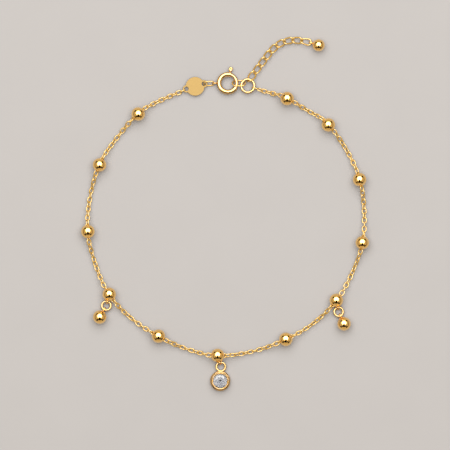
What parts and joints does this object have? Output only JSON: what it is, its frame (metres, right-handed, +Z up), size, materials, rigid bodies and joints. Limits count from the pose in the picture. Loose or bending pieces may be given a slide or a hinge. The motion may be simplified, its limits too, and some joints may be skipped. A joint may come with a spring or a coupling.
{
  "type": "anklet",
  "caption": "Fine cable-chain anklet with spaced round beads, bead drops, a bezel-set round stone, a bare tag, a spring-ring clasp and an extender, lying flat.",
  "frame": {"origin": "middle of the bounding box, on the surface that the anklet lies on", "axes": "+Z up from the surface; +Y from the stone drop towards the clasp; +X towards the extender's side"},
  "size_m": [0.0764, 0.094, 0.0037],
  "materials": {
    "polished_gold": "polished gold plate",
    "chain_gold": "polished gold plate",
    "satin_gold": "satin gold plate",
    "clear_stone": "cut and polished"
  },
  "bodies": {
    "anklet": {"bead_01": "polished_gold", "bead_02": "polished_gold", "bead_03": "polished_gold", "bead_04": "polished_gold", "bead_05": "polished_gold", "bead_06": "polished_gold", "bead_07": "polished_gold", "bead_08": "polished_gold", "bead_09": "polished_gold", "bead_10": "polished_gold", "bead_11": "polished_gold", "bead_12": "polished_gold", "bezel": "polished_gold", "cable_chain": "chain_gold", "chain_end_link_ring": "polished_gold", "chain_end_link_tag": "polished_gold", "clasp_body": "polished_gold", "clasp_ring_link": "polished_gold", "drop_bead_left": "polished_gold", "drop_bead_right": "polished_gold", "end_bead": "polished_gold", "end_ring": "polished_gold", "extender_link_1": "polished_gold", "extender_link_2": "polished_gold", "extender_link_3": "polished_gold", "extender_link_4": "polished_gold", "extender_link_5": "polished_gold", "extender_link_6": "polished_gold", "extender_link_7": "polished_gold", "extender_link_8": "polished_gold", "extender_link_9": "polished_gold", "jump_ring_left": "polished_gold", "jump_ring_right": "polished_gold", "stone": "clear_stone", "tag": "satin_gold", "tag_clasp_link": "polished_gold"},
    "gate": {"clasp_gate": "polished_gold"}
  },
  "joints": [
    {"name": "clasp_gate_slide", "type": "hinge", "parent": "anklet", "child": "gate", "pos_m": [0.00076, 0.03443, 0.00092], "axis": [0, 0, 1], "range_deg": [0, 50], "stiffness_Nm_per_rad": 0.002}
  ]
}
